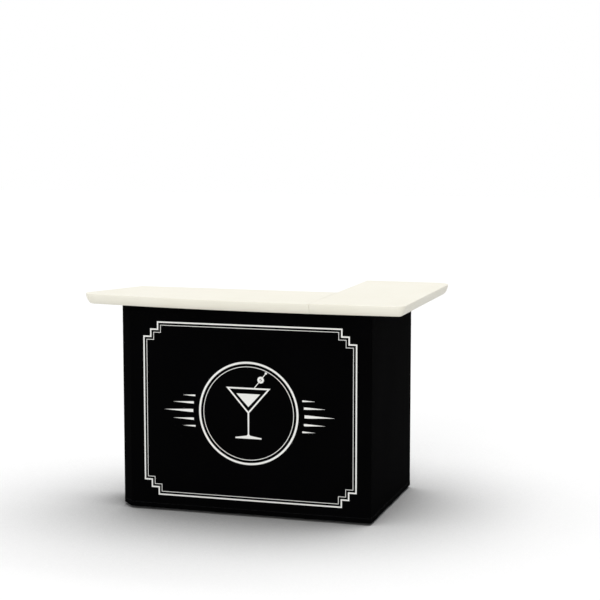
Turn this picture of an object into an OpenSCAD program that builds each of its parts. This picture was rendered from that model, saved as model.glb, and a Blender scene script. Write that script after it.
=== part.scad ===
// Mobile L-shaped serving bar. A moulded two-part counter lies on a square-tube frame, which is
// dressed with a printed wrap and rolls on six swivel castors behind it.
// The origin is on the floor under the middle of the counter's box. +X runs along the counter,
// +Y from the guest side to the serving side and +Z up.

/* [Counter] */
// Overall length of the counter
counter_len = 1625; // [1500:1:1900]
// Overall depth of the counter with its side arm
counter_depth = 1091; // [1000:1:1300]
// Depth of the main panel, from the foremost point of the bow to the back edge
main_depth = 496; // [476:1:520]
// Width of the side arm
arm_w = 448; // [444:1:520]
// Height of the counter's top face above the floor
bar_h = 1067; // [900:1:1200]
// Thickness of the counter panels
panel_thk = 50; // [36:1:70]
// Radius of the bowed front edge
bow_r = 6100; // [4500:10:12000]
// Distance of the foremost point of the bow from the right edge
bow_apex = 554; // [450:1:700]
// Slant of the left end in degrees
end_slant = 23.5; // [5:0.5:28]
// How far the edge leans in towards the underside
edge_undercut = 26; // [18:1:27]
// Radius of the edge's foot, where it meets the underside
edge_foot_r = 10; // [4:1:14]
// Radius of the crisp edge round the top face
edge_round = 1.5; // [0.8:0.1:4]
// Radius of the front left corner
nose_r = 60; // [36:1:80]
// Radius of the back left corner
back_corner_r = 20; // [12:1:60]
// Radius of the arm's front corner
arm_front_r = 40; // [36:1:80]
// Radius of the arm's back corner
arm_back_r = 85; // [36:1:100]
// Wall of the hollow panels
panel_wall = 4; // [3:0.5:6]
// Gap between the two panels at the seam
seam_gap = 1; // [0.6:0.1:3]

/* [Underside of the panels] */
// Radius of a kiss-off dimple at its mouth
dimple_r = 20; // [12:1:26]
// Radius of a kiss-off dimple at its tip
dimple_tip_r = 7; // [5:1:10]
// Kiss-off dimples in a row along the main panel
main_dimples = 7; // [3:1:9]
// Kiss-off dimples in a row along the arm
arm_dimples = 6; // [3:1:8]

/* [Wrap] */
// Overhang of the bow beyond the front face of the wrap
front_overhang = 152; // [132:1:172]
// Overhang of the counter beyond the right face of the wrap
side_overhang = 184; // [150:1:188]
// Overhang of the counter's left tip beyond the wrap
tip_overhang = 156; // [140:1:190]
// Overhang of the side arm's end beyond the wrap
end_overhang = 111; // [60:1:150]
// Overhang of the counter beyond the frame on the serving side
serving_overhang = 24; // [16:1:28]
// Width of the cut-off front left corner, along each side
corner_cut = 66; // [40:1:80]
// Thickness of the wrap
wrap_thk = 2; // [1:0.1:3]
// Height of the wrap's lower edge above the floor
wrap_lift = 12; // [6:1:40]
// Gap between the wrap's upper edge and the counter
wrap_top_gap = 5; // [2:1:12]

/* [Frame] */
// Width of the square tube
tube = 25; // [20:1:30]
// Wall of the tube
tube_wall = 1.5; // [1:0.1:3]
// Radius of the tube's outer edges
tube_round = 3; // [1:0.5:4]
// Width of the bearer under the seam
bearer_w = 50; // [36:1:60]
// Height of the middle shelf's upper face
mid_shelf_h = 597; // [450:1:720]
// Thickness of the shelf boards
shelf_thk = 12; // [8:1:20]
// How far the shelf boards lie on the rails
shelf_seat = 15; // [8:1:18]
// Gap round the posts and between the shelf boards
shelf_gap = 2; // [1:0.5:4]
// Radius of a locating peg
peg_r = 8; // [5:0.5:10]
// Height of a locating peg above its rail
peg_h = 20; // [10:1:24]

/* [Castors] */
// Height from the floor to the top of the castor plates
castor_h = 85; // [82:1:95]
// Diameter of the wheels
wheel_d = 60; // [56:1:62]
// Width of the tread
tread_w = 22; // [18:1:24]
// Thickness of the tread
tread_thk = 8; // [5:0.5:9]
// Offset of the axle behind the swivel axis
trail = 24; // [20:1:26]
// Diameter of the axle
axle_d = 8; // [6:0.5:9]
// Side of the square castor plate
plate_w = 56; // [50:1:60]
// Thickness of the castor plate
plate_thk = 2.5; // [2:0.5:3]
// Thickness of the frame's castor pads
pad_thk = 5; // [4:0.5:8]
// Side of the frame's castor pads
pad_w = 104; // [96:1:110]
// Reach of a brake's toe plate behind its pivot
toe_reach = 50; // [44:1:54]

/* [Hidden] */
$fn = 48;
overrun = 1;
lay_gap = 0.02;
seat_gap = 0.3;
run_fit = 0.05;
peg_gap = 0.6;

// Counter: its box is centred on the origin
right_x = counter_len / 2;
left_x = -right_x;
front_y = -counter_depth / 2;
arm_back_y = counter_depth / 2;
main_back_y = front_y + main_depth;
seam_x = right_x - arm_w;
panel_z = bar_h - panel_thk;
bow_c = [right_x - bow_apex, front_y + bow_r];
bow_steps = 10;
arm_bow_steps = 5;
seam_bow_steps = 2;
slice = 0.2;
arc_steps = 8;
seam_run = edge_undercut + 2 * panel_wall;
nose_c = on_bow(left_x + nose_r, nose_r);
arm_front_c = on_bow(right_x - arm_front_r, arm_front_r);
arm_back_c = [right_x - arm_back_r, arm_back_y - arm_back_r];
slant_out = [-cos(end_slant), sin(end_slant)];
slant_p = nose_c + (nose_r - back_corner_r) * slant_out;
back_c = [
    slant_p.x + (main_back_y - back_corner_r - slant_p.y) * tan(end_slant),
    main_back_y - back_corner_r
];

// The edge in section, as [height, inset] pairs: a crisp top edge, a face that leans in on a wide arc
// and a foot on a small arc, which touches both the face and the underside
face_r = (pow(edge_undercut, 2) + pow(panel_thk, 2) - 2 * panel_thk * edge_foot_r)
    / (2 * (edge_undercut - edge_foot_r));
foot_a = asin((panel_thk - edge_foot_r) / (face_r - edge_foot_r));
face_steps = 4;
foot_steps = 3;
hollow_steps = 2;
edge_section = concat(
    [[panel_thk, edge_round], [panel_thk - edge_round * (1 - cos(45)), edge_round * (1 - sin(45))]],
    face_arc(face_r, asin(edge_round / face_r), face_steps),
    [
        for (i = [1:foot_steps])
            let (a = foot_a + (90 - foot_a) * i / foot_steps)
            [edge_foot_r * (1 - sin(a)), edge_undercut - edge_foot_r * cos(a)]
    ]
);
hollow_r = face_r - panel_wall;
hollow_section = concat(
    face_arc(hollow_r, asin(panel_wall / hollow_r), hollow_steps),
    [[panel_wall, edge_undercut]]
);

// Rows of kiss-off dimples, as shares of the panel that they lie in
main_row_shares = [0.49, 0.77];
main_first_share = 0.16;
main_last_share = 0.93;
arm_row_shares = [0.32, 0.79];
arm_first_share = 0.08;
arm_last_share = 0.93;
main_len = seam_x - left_x;
bow_row_inset = edge_undercut + dimple_r + 2 * panel_wall;

// Wrap
wrap_right = right_x - side_overhang;
wrap_left = left_x + tip_overhang;
wrap_front = front_y + front_overhang;
wrap_back = arm_back_y - end_overhang;
wrap_h = panel_z - wrap_top_gap - wrap_lift;
fold = wrap_thk * tan(22.5);
cut_a = [wrap_left + corner_cut, wrap_front];
cut_b = [wrap_left, wrap_front + corner_cut];
in_a = cut_a + [fold, wrap_thk];
in_b = cut_b + [wrap_thk, fold];

// Frame: outer faces of the tubes
frame_right = wrap_right - wrap_thk;
frame_left = wrap_left + wrap_thk;
frame_front = wrap_front + wrap_thk;
frame_end = wrap_back - wrap_thk;
frame_back = main_back_y - serving_overhang;
frame_inner = seam_x + serving_overhang;
frame_top = panel_z - lay_gap;
base_z = castor_h + pad_thk;
post_h = frame_top - base_z;
top_rail_z = frame_top - tube;
mid_rail_z = mid_shelf_h - shelf_thk - tube;
corner_post_w = norm(in_b - in_a);

// Lower left corners of the upright posts
posts = [
    ["front_right", [frame_right - tube, frame_front]],
    ["rear_left", [frame_left, frame_back - tube]],
    ["inner", [frame_inner, frame_back - tube]],
    ["arm_inner", [frame_inner, frame_end - tube]],
    ["arm_outer", [frame_right - tube, frame_end - tube]]
];

// Rails between the posts: name, lower left corner and length, as [along x, along y]
rails = [
    ["front", in_a, [frame_right - tube - in_a.x, 0]],
    ["left", in_b, [0, frame_back - tube - in_b.y]],
    ["right", [frame_right - tube, frame_front + tube], [0, frame_end - frame_front - 2 * tube]],
    ["rear", [frame_left + tube, frame_back - tube], [frame_inner - frame_left - tube, 0]],
    ["inner", [frame_inner, frame_back], [0, frame_end - tube - frame_back]],
    ["end", [frame_inner + tube, frame_end - tube], [frame_right - frame_inner - 2 * tube, 0]]
];
shelf_rail_names = ["front", "rear", "right", "inner"];

// Shelf boards: edges that both boards or both levels share
shelf_front = frame_front + tube - shelf_seat;
shelf_split = frame_inner + tube - shelf_seat;
low_shelf_z = base_z + tube;
mid_shelf_z = mid_shelf_h - shelf_thk;
shelf_corner = corner_cut + tube * sqrt(2) + shelf_gap + wrap_thk * sqrt(2);

// Locating pegs, each on the middle of a top rail: shares of the distance along it
main_peg_shares = [0.12, 0.66];
arm_peg_shares = [0.16, 0.86];
inner_peg_shares = [0.25, 0.75];
main_pegs = [for (n = ["front", "rear"], s = main_peg_shares) along_rail(n, s)];
arm_pegs = concat(
    [for (s = arm_peg_shares) along_rail("right", s)],
    [for (s = inner_peg_shares) along_rail("inner", s)]
);

// Castors: heights of the swivel, from the plate down
wheel_r = wheel_d / 2;
hub_r = wheel_r - tread_thk;
axle_r = axle_d / 2;
plate_round = 6;
pad_round = 8;
race_r = 22;
race_h = 6.5;
crown_r = 20;
crown_thk = 4;
king_r = 5;
rivet_r = 8;
rivet_h = 3;
race_z = castor_h - plate_thk - race_h;
crown_top = race_z - seat_gap;
crown_z = crown_top - crown_thk;
rivet_top = crown_z - seat_gap;

// Fork legs
wheel_side_gap = 2;
leg_thk = 3;
leg_front = 12;
leg_rear = 28;
leg_boss_r = 9;
fork_gap = tread_w + 2 * wheel_side_gap;
fork_w = fork_gap + 2 * leg_thk;

// Wheel
hub_boss_r = 9;
hub_web_w = 8;
hub_rim = 5;
hub_step = 1;
tread_round = 3;
bolt_head_r = 7;
bolt_head_h = 4;

// Toe brake: pivot above the wheel, shoe over the tread
pivot_r = 2.5;
pivot_boss_r = 4.5;
pivot_lead = 4;
pivot_gap = 1.2;
pivot = [trail - pivot_lead, crown_z - pivot_boss_r - pivot_gap];
lever_gap = 1;
shoe_gap = 4;
shoe_reach = 30;
shoe_drop = 16;
toe_drop = 8;
toe_thk = 4;
toe_len = 22;
toe_w = 36;

// Places of the castors, clear of the wrap over a full turn
castor_room = 7;
castor_inset = norm([trail + wheel_r, tread_w / 2]) + castor_room;
brake_inset = norm([pivot.x + toe_reach, toe_w / 2]) + castor_room;
castors = [
    ["front_left", [in_a.x + tube + pad_w / 2, frame_front + castor_inset]],
    ["front_right", [frame_right - castor_inset, frame_front + castor_inset]],
    ["rear_left", [frame_left + brake_inset, frame_back - castor_inset]],
    ["inner", [frame_inner - pad_w / 2, frame_back - castor_inset]],
    ["arm_inner", [frame_inner + castor_inset, frame_end - castor_inset]],
    ["arm_outer", [frame_right - castor_inset, frame_end - castor_inset]]
];
brakes = ["rear_left", "inner"];

cream = "#f4f1e4";
print_black = "#141414";
steel_black = "#26272a";
board_white = "#e9e6da";
zinc = "#b9bcc0";
hub_grey = "#8d9094";
tread_grey = "#3c3d40";
pedal_black = "#2b2c2e";

// The point on the bow at x, or inset from it by a radius
function on_bow(x, inset = 0) = [x, bow_c.y - sqrt(pow(bow_r - inset, 2) - pow(x - bow_c.x, 2))];
function bow_angle(at) = 360 + atan2(at.y - bow_c.y, at.x - bow_c.x);
function arc(c, r, a0, a1) = [
    for (i = [0:arc_steps])
        let (a = a0 + (a1 - a0) * i / arc_steps)
        c + r * [cos(a), sin(a)]
];
function face_arc(r, first_a, steps) = [
    for (i = [0:steps])
        let (a = first_a + (foot_a - first_a) * i / steps)
        [panel_thk - r * sin(a), face_r - r * cos(a)]
];
function bow_points(x0, x1, steps) = [for (i = [0:steps]) on_bow(x0 + (x1 - x0) * i / steps)];
function named(list, name) = [for (row = list) if (row[0] == name) row][0];
function along_rail(name, share) =
    let (r = named(rails, name))
    r[1] + r[2] * share + (r[2].x > 0 ? [0, tube / 2] : [tube / 2, 0]);
function braked(name) = len([for (b = brakes) if (b == name) b]) > 0;
function spread(first, last, count) = [for (i = [0:count - 1]) first + (last - first) * i / (count - 1)];

// Outline of the main panel, run on past the seam so that insets leave the seam side alone
function main_outline() =
    let (run_x = seam_x + seam_run, slant_a = 180 - end_slant, bow_a = bow_angle(nose_c))
    concat(
        arc(nose_c, nose_r, slant_a, bow_a),
        bow_points(nose_c.x + nose_r * cos(bow_a), bow_c.x, bow_steps),
        bow_points(bow_c.x, run_x, seam_bow_steps),
        [[run_x, main_back_y]],
        arc(back_c, back_corner_r, 90, slant_a)
    );

// Outline of the arm panel, run on past the seam in the same way
function arm_outline() =
    let (run_x = seam_x - seam_run, bow_a = bow_angle(arm_front_c))
    concat(
        bow_points(run_x, arm_front_c.x + arm_front_r * cos(bow_a), arm_bow_steps),
        arc(arm_front_c, arm_front_r, bow_a, 360),
        arc(arm_back_c, arm_back_r, 0, 90),
        [[run_x, arm_back_y]]
    );

// A moulded body lofted through inset copies of an outline, with a straight side at the seam.
// seam_side is -1 for the panel left of the seam and 1 for the panel right of it.
module loft(outline, section, seam_side, seam_inset) {
    keep = counter_len + counter_depth;
    face_x = seam_x + seam_side * (seam_gap / 2 + seam_inset);
    hull()
        for (s = section)
            translate([0, 0, panel_z + min(s[0], panel_thk - slice)])
                linear_extrude(slice)
                    intersection() {
                        offset(r = -s[1]) polygon(outline);
                        translate([seam_side < 0 ? face_x - keep : face_x, -keep / 2]) square(keep);
                    }
}

// A kiss-off dimple, or with grow the moulded cone round it that joins the two skins
module dimple(at, grow) {
    h = panel_thk - panel_wall + (grow > 0 ? overrun : 0);
    translate([at.x, at.y, panel_z - overrun])
        cylinder(h = h + overrun, r1 = dimple_r + grow, r2 = dimple_tip_r + grow);
}

// A hollow panel with kiss-off dimples and peg holes in its underside
module panel(outline, seam_side, dimples, pegs) {
    difference() {
        loft(outline, edge_section, seam_side, 0);
        difference() {
            loft(outline, hollow_section, seam_side, panel_wall);
            for (d = dimples) dimple(d, panel_wall);
            for (p = pegs)
                translate([p.x, p.y, panel_z])
                    cylinder(h = panel_wall, r = peg_r + peg_gap + panel_wall);
        }
        for (d = dimples) dimple(d, 0);
        for (p = pegs)
            translate([p.x, p.y, panel_z - overrun])
                cylinder(h = peg_h + 2 * overrun, r = peg_r + peg_gap);
    }
}

module main_top() {
    x0 = left_x + main_len * main_first_share;
    x1 = left_x + main_len * main_last_share;
    xs = spread(x0, x1, main_dimples);
    rows = [for (x = xs, s = main_row_shares) [x, front_y + main_depth * s]];
    spots = concat(rows, [for (x = xs) on_bow(x) + [0, bow_row_inset]]);
    color(cream) panel(main_outline(), -1, spots, main_pegs);
}

module arm_top() {
    y0 = front_y + counter_depth * arm_first_share;
    y1 = front_y + counter_depth * arm_last_share;
    ys = spread(y0, y1, arm_dimples);
    spots = [for (y = ys, s = arm_row_shares) [seam_x + arm_w * s, y]];
    color(cream) panel(arm_outline(), 1, spots, arm_pegs);
}

module top_pegs() {
    tip = peg_r / 2;
    color(steel_black)
        for (p = concat(main_pegs, arm_pegs))
            translate([p.x, p.y, frame_top]) {
                cylinder(h = peg_h - tip, r = peg_r);
                translate([0, 0, peg_h - tip]) cylinder(h = tip, r1 = peg_r, r2 = peg_r - tip);
            }
}

// A wrap panel over a plan outline
module wrap_panel(points) {
    color(print_black) translate([0, 0, wrap_lift]) linear_extrude(wrap_h) polygon(points);
}

module wrap_front() {
    wrap_panel([cut_a, [wrap_right, wrap_front], [wrap_right, frame_front], in_a]);
}

module wrap_corner() {
    wrap_panel([cut_a, in_a, in_b, cut_b]);
}

module wrap_left() {
    wrap_panel([cut_b, in_b, [frame_left, frame_back], [wrap_left, frame_back]]);
}

module wrap_right() {
    wrap_panel([
        [frame_right, frame_front],
        [wrap_right, frame_front],
        [wrap_right, wrap_back],
        [frame_right, wrap_back]
    ]);
}

module wrap_end() {
    wrap_panel([
        [frame_inner, frame_end],
        [frame_right, frame_end],
        [frame_right, wrap_back],
        [frame_inner, wrap_back]
    ]);
}

// An oblong with round corners, with its corner on the origin
module rounded(w, d, r) {
    translate([r, 0]) square([w - 2 * r, d]);
    translate([0, r]) square([w, d - 2 * r]);
    for (x = [r, w - r], y = [r, d - r]) translate([x, y]) circle(r, $fn = 24);
}

// The section of a square or oblong tube, with its corner on the origin
module tube_section(w) {
    difference() {
        rounded(w, tube, tube_round);
        translate([tube_wall, tube_wall]) square([w - 2 * tube_wall, tube - 2 * tube_wall]);
    }
}

// The wide post stands across the cut-off corner, flush with the rails at both its ends
module post_front_left() {
    color(steel_black)
        translate([in_a.x, in_a.y, base_z])
            rotate([0, 0, 135])
                translate([0, -tube, 0])
                    linear_extrude(post_h)
                        tube_section(corner_post_w);
}

module post(p) {
    color(steel_black) translate([p[1].x, p[1].y, base_z]) linear_extrude(post_h) tube_section(tube);
}

// A tube lying from its corner along x or y
module lying_tube(len, w) {
    if (len.x > 0) rotate([90, 0, 90]) linear_extrude(len.x) tube_section(w);
    else translate([0, len.y, 0]) rotate([90, 0, 0]) linear_extrude(len.y) tube_section(w);
}

// A rail at a height. The front and left rails are mitred where they meet the wide post.
module rail(r, z) {
    cut = 2 * tube;
    cutter = [2 * cut, cut, tube + 2 * overrun];
    color(steel_black)
        translate([r[1].x, r[1].y, z])
            difference() {
                lying_tube(r[2], tube);
                if (r[0] == "front") rotate([0, 0, 45]) translate([-cut, 0, -overrun]) cube(cutter);
                if (r[0] == "left") rotate([0, 0, 45]) translate([-cut, -cut, -overrun]) cube(cutter);
            }
}

module shelf_rails() {
    for (n = shelf_rail_names) rail(named(rails, n), mid_rail_z);
}

module seam_bearer() {
    y0 = frame_front + tube;
    y1 = frame_back - tube;
    color(steel_black)
        translate([seam_x - bearer_w / 2, y0, top_rail_z])
            lying_tube([0, y1 - y0], bearer_w);
}

// A shelf board over a plan box, notched round the posts and cut off at the front left corner
module shelf(low, high, z) {
    color(board_white)
        translate([0, 0, z])
            linear_extrude(shelf_thk)
                difference() {
                    translate(low) square(high - low);
                    for (p = posts)
                        translate(p[1] - [shelf_gap, shelf_gap]) square(tube + 2 * shelf_gap);
                    translate([wrap_left, wrap_front])
                        polygon([[0, 0], [shelf_corner, 0], [0, shelf_corner]]);
                }
}

module main_shelf(z) {
    shelf(
        [frame_left + tube - shelf_seat, shelf_front],
        [shelf_split - shelf_gap, frame_back - tube + shelf_seat],
        z
    );
}

module arm_shelf(z) {
    shelf(
        [shelf_split, shelf_front],
        [frame_right - tube + shelf_seat, frame_end - tube + shelf_seat],
        z
    );
}

module main_shelf_low() { main_shelf(low_shelf_z); }
module main_shelf_mid() { main_shelf(mid_shelf_z); }
module arm_shelf_low() { arm_shelf(low_shelf_z); }
module arm_shelf_mid() { arm_shelf(mid_shelf_z); }

module castor_pads() {
    color(steel_black)
        for (c = castors)
            translate([c[1].x - pad_w / 2, c[1].y - pad_w / 2, castor_h])
                linear_extrude(pad_thk)
                    rounded(pad_w, pad_w, pad_round);
}

// Castor plate with its upper race, king pin and rivet head
module castor_plates() {
    color(zinc)
        for (c = castors)
            translate([c[1].x, c[1].y, 0]) {
                translate([-plate_w / 2, -plate_w / 2, castor_h - plate_thk])
                    linear_extrude(plate_thk)
                        rounded(plate_w, plate_w, plate_round);
                translate([0, 0, race_z]) cylinder(h = race_h, r = race_r);
                translate([0, 0, rivet_top]) cylinder(h = race_z - rivet_top, r = king_r);
                translate([0, 0, rivet_top - rivet_h]) cylinder(h = rivet_h, r = rivet_r);
            }
}

// A plan of a castor part in its side view, as thick as w and centred on the wheel
module side_plate(x, w) {
    translate([x, 0, 0]) rotate([90, 0, 90]) linear_extrude(w) children();
}

module cross_pin(at, len, r) {
    translate([-len / 2, at.x, at.y]) rotate([0, 90, 0]) cylinder(h = len, r = r);
}

module fork(c) {
    color(zinc)
        translate([c[1].x, c[1].y, 0])
            difference() {
                union() {
                    translate([0, 0, crown_z]) cylinder(h = crown_thk, r = crown_r);
                    for (x = [-fork_w / 2, fork_gap / 2])
                        side_plate(x, leg_thk) {
                            polygon([
                                [-leg_front, crown_top],
                                [leg_rear, crown_top],
                                [trail + leg_boss_r, wheel_r],
                                [trail - leg_boss_r, wheel_r]
                            ]);
                            translate([trail, wheel_r]) circle(leg_boss_r);
                        }
                }
                translate([0, 0, crown_z - overrun])
                    cylinder(h = crown_thk + 2 * overrun, r = king_r + run_fit);
                cross_pin([trail, wheel_r], fork_w + 2 * overrun, axle_r + run_fit);
                if (braked(c[0])) cross_pin(pivot, fork_w + 2 * overrun, pivot_r + run_fit);
            }
}

// Axle bolt with its head and nut
module axle(c) {
    color(zinc)
        translate([c[1].x, c[1].y, 0]) {
            cross_pin([trail, wheel_r], fork_w + 2 * bolt_head_h, axle_r);
            for (x = [-fork_w / 2 - bolt_head_h, fork_w / 2])
                translate([x, trail, wheel_r])
                    rotate([0, 90, 0])
                        cylinder(h = bolt_head_h, r = bolt_head_r, $fn = 6);
        }
}

// A turned part on the axle, from a half section in [radius, half width]
module turned(c, section) {
    mirrored = [for (i = [len(section) - 1:-1:0]) [section[i].x, -section[i].y]];
    translate([c[1].x, c[1].y + trail, wheel_r])
        rotate([0, 90, 0])
            rotate_extrude()
                polygon(concat(section, mirrored));
}

module hub(c) {
    bore_r = axle_r + run_fit;
    boss_half = fork_gap / 2 - seat_gap;
    rim_half = tread_w / 2 - hub_step;
    color(hub_grey)
        turned(c, [
            [bore_r, boss_half],
            [hub_boss_r, boss_half],
            [hub_boss_r, hub_web_w / 2],
            [hub_r - hub_rim, hub_web_w / 2],
            [hub_r - hub_rim, rim_half],
            [hub_r, rim_half]
        ]);
}

module tread(c) {
    half = tread_w / 2;
    color(tread_grey)
        turned(c, [
            [hub_r + run_fit, half],
            [wheel_r - tread_round, half],
            [wheel_r - tread_round * (1 - cos(45)), half - tread_round * (1 - cos(45))],
            [wheel_r, half - tread_round]
        ]);
}

// Toe brake: a lever over the wheel, hollowed to the tread, with its toe plate and pivot pin
module brake(c) {
    lever_w = fork_gap - 2 * lever_gap;
    color(pedal_black)
        translate([c[1].x, c[1].y, 0]) {
            difference() {
                union() {
                    side_plate(-lever_w / 2, lever_w) {
                        translate(pivot) circle(pivot_boss_r);
                        polygon([
                            pivot + [0, pivot_boss_r],
                            pivot + [toe_reach, toe_thk - toe_drop],
                            pivot + [toe_reach, -toe_drop],
                            pivot + [shoe_reach, -toe_drop],
                            pivot + [shoe_reach, -shoe_drop],
                            pivot + [0, -pivot_boss_r]
                        ]);
                    }
                    translate([-toe_w / 2, pivot.x + toe_reach - toe_len, pivot.y - toe_drop])
                        cube([toe_w, toe_len, toe_thk]);
                }
                cross_pin([trail, wheel_r], fork_w, wheel_r + shoe_gap);
            }
            cross_pin(pivot, fork_w, pivot_r);
        }
}

main_top();
arm_top();
top_pegs();
seam_bearer();
wrap_front();
wrap_corner();
wrap_left();
wrap_right();
wrap_end();
post_front_left();
for (p = posts) post(p);
for (r = rails) rail(r, base_z);
for (r = rails) rail(r, top_rail_z);
shelf_rails();
main_shelf_low();
main_shelf_mid();
arm_shelf_low();
arm_shelf_mid();
castor_pads();
castor_plates();
for (c = castors) fork(c);
for (c = castors) axle(c);
for (c = castors) hub(c);
for (c = castors) tread(c);
for (b = brakes) brake(named(castors, b));
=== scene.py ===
import math

import bmesh
import bpy
from mathutils import Matrix, Vector


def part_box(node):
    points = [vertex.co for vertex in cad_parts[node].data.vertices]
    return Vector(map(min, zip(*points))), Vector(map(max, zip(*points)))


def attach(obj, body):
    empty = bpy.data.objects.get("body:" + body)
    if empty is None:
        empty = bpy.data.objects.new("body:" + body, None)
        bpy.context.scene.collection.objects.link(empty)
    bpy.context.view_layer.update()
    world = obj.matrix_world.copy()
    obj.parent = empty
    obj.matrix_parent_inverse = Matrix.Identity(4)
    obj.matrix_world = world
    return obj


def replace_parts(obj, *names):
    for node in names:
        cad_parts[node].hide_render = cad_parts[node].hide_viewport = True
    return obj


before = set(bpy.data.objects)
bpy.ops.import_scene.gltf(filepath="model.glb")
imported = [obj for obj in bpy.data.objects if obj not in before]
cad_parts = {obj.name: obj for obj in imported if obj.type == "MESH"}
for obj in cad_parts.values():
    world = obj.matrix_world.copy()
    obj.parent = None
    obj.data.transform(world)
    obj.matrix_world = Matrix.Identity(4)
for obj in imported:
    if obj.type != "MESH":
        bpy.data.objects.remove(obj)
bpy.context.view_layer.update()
print("stage: frame loaded with", len(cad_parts), "nodes")

mm = 0.001
same = 1e-5  # metres within which two places are one
weld = 1e-6  # metres within which loose points are joined
facing = 0.99  # least part of a normal along the axis that its face looks along


# small tools that every piece uses

def linear(colour):  # sRGB hex to the linear values that shaders take
    parts = [int(colour[i:i + 2], 16) / 255 for i in (1, 3, 5)]
    return [c / 12.92 if c <= 0.04045 else ((c + 0.055) / 1.055) ** 2.4 for c in parts] + [1.0]


def perMm(size):  # texture scale for a feature of that many millimetres, on coordinates in metres
    return 1 / (size * mm)


def perThread(size):  # wave texture scale at which a thread of that many millimetres is half a wave
    return perMm(size) / 20 * math.pi


def freshTree(owner):
    owner.use_nodes = True
    owner.node_tree.nodes.clear()
    return owner.node_tree


def addNode(tree, kind, settings=None, values=None, links=None, into=None):
    node = tree.nodes.new("ShaderNode" + kind)
    for key, value in (settings or {}).items():
        setattr(node, key, value)
    for key, value in (values or {}).items():
        node.inputs[key].default_value = value
    for key, (source, output) in (links or {}).items():
        tree.links.new(source.outputs[output], node.inputs[key])
    if into:
        output, target, socket = into
        tree.links.new(node.outputs[output], target.inputs[socket])
    return node


def spans(*numbers):  # what a map range takes and gives
    return dict(zip(("From Min", "From Max", "To Min", "To Max"), numbers))


def deselect():
    if bpy.context.object and bpy.context.object.mode != "OBJECT":
        bpy.ops.object.mode_set(mode="OBJECT")
    bpy.ops.object.select_all(action="DESELECT")


def choose(*pieces):
    deselect()
    for piece in pieces:
        piece.select_set(True)
    bpy.context.view_layer.objects.active = pieces[0]


def addObject(name, data):
    piece = bpy.data.objects.new(name, data)
    bpy.context.scene.collection.objects.link(piece)
    return piece


def start(primitive, name, **settings):
    deselect()
    primitive(**settings)
    piece = bpy.context.object
    piece.name = piece.data.name = name
    return piece


def settle(piece):  # place, turn and scale go into the mesh
    choose(piece)
    bpy.ops.object.transform_apply(location=True, rotation=True, scale=True)


def editing(piece, everything=False):
    choose(piece)
    bpy.ops.object.mode_set(mode="EDIT")
    if everything:
        bpy.ops.mesh.select_all(action="SELECT")


def pick(piece, kind, rule):  # in edit mode, select the faces, edges or verts that keep to the rule
    bpy.ops.mesh.select_mode(type=kind[:4].upper())
    bpy.ops.mesh.select_all(action="DESELECT")
    shape = bmesh.from_edit_mesh(piece.data)
    for element in getattr(shape, kind):
        if rule(element):
            element.select_set(True)
    shape.select_flush_mode()
    bmesh.update_edit_mesh(piece.data)


def bevelWhere(piece, rule, width, segments, **settings):
    pick(piece, "edges", rule)
    bpy.ops.mesh.bevel(offset=width, segments=segments, **settings)


def pull(move, shrink=None):  # extrude what is selected, and then shrink its far end
    bpy.ops.mesh.extrude_region_move(TRANSFORM_OT_translate={"value": move})
    if shrink:
        bpy.ops.transform.resize(value=shrink)


def drawUp(steps):  # each step is a rise and the share to which the top narrows
    for rise, share in steps:
        pull((0, 0, rise), (share, share, 1.0))


def faceOut():
    bpy.ops.mesh.select_all(action="SELECT")
    bpy.ops.mesh.normals_make_consistent(inside=False)


def disc(name, corners, radius=1.0, **settings):
    return start(bpy.ops.mesh.primitive_circle_add, name, vertices=corners, radius=radius,
                 fill_type="NGON", **settings)


def pillar(name, corners, radius, steps, foot=0.0):  # a disc drawn up from its foot, left in edit mode
    piece = disc(name, corners, radius, location=(0, 0, foot))
    settle(piece)
    editing(piece, everything=True)
    drawUp(steps)
    return piece


def block(name, size, middle=(0, 0, 0)):  # a cuboid, left in edit mode
    piece = start(bpy.ops.mesh.primitive_cube_add, name, size=1, location=middle)
    piece.scale = size
    settle(piece)
    editing(piece)
    return piece


def modify(piece, kind, **settings):
    choose(piece)
    modifier = piece.modifiers.new(kind.lower(), kind)
    for key, value in settings.items():
        setattr(modifier, key, value)
    bpy.ops.object.modifier_apply(modifier=modifier.name)


def smooth(piece, degrees):
    choose(piece)
    bpy.ops.object.shade_smooth_by_angle(angle=math.radians(degrees))


def merge(pieces, name):
    choose(*pieces)
    if len(pieces) > 1:
        bpy.ops.object.join()
    pieces[0].name = pieces[0].data.name = name
    return pieces[0]


def placed(at, turn=0.0, axis="Z"):
    return Matrix.Translation(at) @ Matrix.Rotation(turn, 4, axis)


def scatter(template, name, places):  # one mesh with a copy of the template at each place
    deselect()
    points, faces = [], []
    corners = [v.co.copy() for v in template.data.vertices]
    loops = [list(p.vertices) for p in template.data.polygons]
    for place in places:
        offset = len(points)
        points += [place @ corner for corner in corners]
        faces += [[offset + i for i in loop] for loop in loops]
    shape = bpy.data.meshes.new(name)
    shape.from_pydata(points, [], faces)
    bpy.data.objects.remove(template)
    return addObject(name, shape)


def paint(piece, *finishes):
    piece.data.materials.clear()
    for finish in finishes:
        piece.data.materials.append(bpy.data.materials[finish])


def fit(piece, body, slotName, *finishes, degrees=None):
    if degrees:
        smooth(piece, degrees)
    paint(piece, *finishes)
    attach(piece, body)
    return piece


def camel(opening, words):  # a piece's name from its node's words
    return opening + "".join(word.capitalize() for word in words.split("_"))


def shares(first, last, parts):
    return [first + (last - first) * part for part in parts]


def spread(first, last, count):
    return [first + (last - first) * i / (count - 1) for i in range(count)]


# materials

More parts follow.
